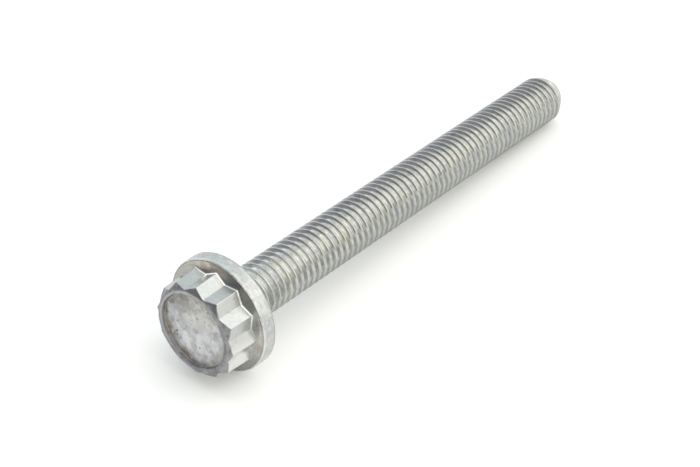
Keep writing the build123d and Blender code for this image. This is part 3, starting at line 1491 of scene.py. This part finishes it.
@dataclass(frozen=True)
class Glow:
    """A soft-edged bright panel of the room, about a heading.

    Its half width, half height and softness are sines of angles.
    """

    azimuth: float
    elevation: float
    half_width: float
    half_height: float
    soft: float
    colour: Colour
    ahead: float = 0.1  # the part along the heading, from which the panel counts in full

    def share(self, towards: Signal) -> Signal:
        """Work out how much of the panel a direction meets, from 0 to 1.

        The direction's parts across and up the panel are compared with its half width and
        half height; both shares are multiplied, and the room's opposite side has none.

        Args:
            towards: the direction.

        Returns:
            The share.
        """
        ahead = towards.dot(heading(self.azimuth, self.elevation)).rise(0.0, self.ahead)
        across = towards.dot(heading(self.azimuth + 90.0, 0.0)).size()
        up = towards.dot(heading(self.azimuth, self.elevation + 90.0)).size()
        width = across.rise(self.half_width + self.soft, self.half_width - self.soft)
        height = up.rise(self.half_height + self.soft, self.half_height - self.soft)
        return ahead * width * height


@dataclass(frozen=True)
class Studio:
    """The white table, the light and the camera.

    Lengths are in metres, the lens and its sensor in mm, and angles in degrees. The room
    changes along a heading by the direction's part along it, a cosine.
    """

    floor_size: float = 6.0
    camera_stand: tuple[float, float, float] = (-0.161200, -0.122118, 0.154031)
    camera_azimuth: float = 38.8550
    camera_elevation: float = -37.2842
    lens: float = 84.6456
    sensor: float = 36.0
    clip: Pair = (0.01, 20.0)
    table_white: float = 0.8
    table_lift: float = 0.44  # how much brighter the table is where the camera sees it
    mirrored_far: float = 0.25  # the table's brightness in the bolt, beyond the head
    mirrored_head: float = 0.12  # how much brighter it is in the bolt beside the head
    mirrored_thread: float = -0.02  # and beside the thread
    mirrored_edge: Pair = (-0.125, -0.075)  # from far away to the head, along X
    thread_edge: Pair = (-0.035, -0.018)  # from the head to the thread, along X
    backdrop: Colour = (1.0, 1.0, 1.0)
    wall_azimuth: float = -12.0
    wall_spread: float = 0.8  # from the right wall's colour to the far wall's
    right_wall: Colour = (1.02, 1.01, 0.95)
    far_wall: Colour = (0.70, 0.76, 0.77)
    dark_side: Colour = (0.24, 0.24, 0.25)
    dark_heading: Pair = (155.0, 15.0)
    dark_spread: Pair = (0.60, 0.98)  # from the walls to the dark side
    glows: tuple[Glow, ...] = (
        Glow(40.0, 66.0, 0.30, 0.22, 0.14, (1.15, 1.17, 1.17)),
        Glow(-65.0, 58.0, 0.34, 0.56, 0.13, (1.64, 1.64, 1.58)),
        Glow(88.0, 34.0, 0.18, 0.36, 0.12, (1.75, 1.77, 1.77)),
        Glow(-166.0, 8.0, 0.18, 0.18, 0.12, (0.34, 0.32, 0.29)),
    )
    boxes: tuple[SoftBox, ...] = (
        SoftBox("overhead_softbox", -72.0, 66.0, 0.9, 0.70, 0.70, 0.3, (1.0, 1.0, 0.98)),
    )

    def camera(self) -> None:
        """Add the camera, level, at its stand."""
        lens = bpy.data.cameras.new("camera")
        lens.lens, lens.sensor_width = self.lens, self.sensor
        lens.clip_start, lens.clip_end = self.clip
        holder = shown("camera", lens)
        holder.location = self.camera_stand
        pitch, turn = 90 + self.camera_elevation, self.camera_azimuth - 90
        holder.rotation_euler = (math.radians(pitch), 0.0, math.radians(turn))
        bpy.context.scene.camera = holder

    def floor(self) -> None:
        """Add the white table top, a level square under the bolt.

        The camera sees it lighter than it lights the bolt, and the bolt mirrors it darker
        beyond the head.
        """
        half = self.floor_size / 2
        corners = half * np.array([[-1, -1, 0], [1, -1, 0], [1, 1, 0], [-1, 1, 0]], float)
        mesh = bpy.data.meshes.new("table_top")
        mesh.from_pydata(corners.tolist(), [], [(0, 1, 2, 3)])
        table = shown("table_top", mesh)
        material, graph = blank_material("white_table")
        seen = graph.signal("ShaderNodeLightPath", output="Is Camera Ray")
        mirrored = graph.signal("ShaderNodeLightPath", output="Is Glossy Ray")
        along = graph.coordinates("Object").dot((1.0, 0.0, 0.0))
        near = along.rise(*self.mirrored_edge, self.mirrored_far - 1, self.mirrored_head)
        past = along.rise(*self.thread_edge, 0.0, self.mirrored_thread - self.mirrored_head)
        lift = 1 + self.table_lift * seen + (near + past) * mirrored
        white = graph.scaled((self.table_white,) * 3, lift)
        graph.finish("Material", graph.node("ShaderNodeBsdfDiffuse", None, {"Color": white}))
        mesh.materials.append(material)

    def world(self) -> None:
        """Fill the room with soft light: white walls on two sides, and dark towards the left.

        The room's colour goes with the heading: dark where it faces away from the white
        walls, warm white to the right and cooler beyond the bolt. Rays straight from the
        camera find plain white.
        """
        world = bpy.data.worlds.new("studio")
        world.use_nodes = True
        graph = Graph(world.node_tree)
        towards = graph.coordinates("Generated")
        turning = towards.dot(heading(self.wall_azimuth + 90.0, 0.0))
        across = turning.rise(-self.wall_spread, self.wall_spread)
        away = towards.dot(heading(*self.dark_heading)).rise(*self.dark_spread)
        room = graph.mix(away, graph.mix(across, self.right_wall, self.far_wall), self.dark_side)
        for glow in self.glows:
            room = graph.mix(glow.share(towards), room, glow.colour)
        seen = graph.signal("ShaderNodeLightPath", output="Is Camera Ray")
        light = {"Color": graph.mix(seen, room, self.backdrop), "Strength": 1.0}
        graph.finish("World", graph.node("ShaderNodeBackground", None, light))
        bpy.context.scene.world = world

    def build(self, aim: Vector) -> None:
        """Set up the whole studio, with its lamps aimed at a point.

        Args:
            aim: the point.
        """
        self.camera()
        self.floor()
        self.world()
        for box in self.boxes:
            box.build(aim)
        bpy.context.scene.view_settings.view_transform = "Standard"


def report(piece: bpy.types.Object) -> None:
    """Log a piece's name, its size in points and faces, and its box in mm.

    Args:
        piece: the piece to log.
    """
    corners = np.array([tuple(corner) for corner in piece.bound_box]) / MM
    LOG.info(
        "%s: %d points, %d faces, box %s to %s mm",
        piece.name,
        len(piece.data.vertices),
        len(piece.data.polygons),
        corners.min(axis=0).round(3).tolist(),
        corners.max(axis=0).round(3).tolist(),
    )


def main() -> None:
    """Build the studio and the bolt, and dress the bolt."""
    logging.basicConfig(level=logging.INFO, format="%(name)s: %(message)s")
    low, high = cad_box
    Studio().build((low + high) / 2)
    bolt = FlangeBolt()
    lie = Lie.from_record(frame["record"], bolt.crown.height)
    piece = bolt.build(lie)
    for zone in Zone:
        piece.data.materials.append(PLATINGS[zone].material(lie, bolt.flange))
    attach(piece, BODY)
    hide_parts(NODE)
    report(piece)


if __name__ == "__main__":
    main()
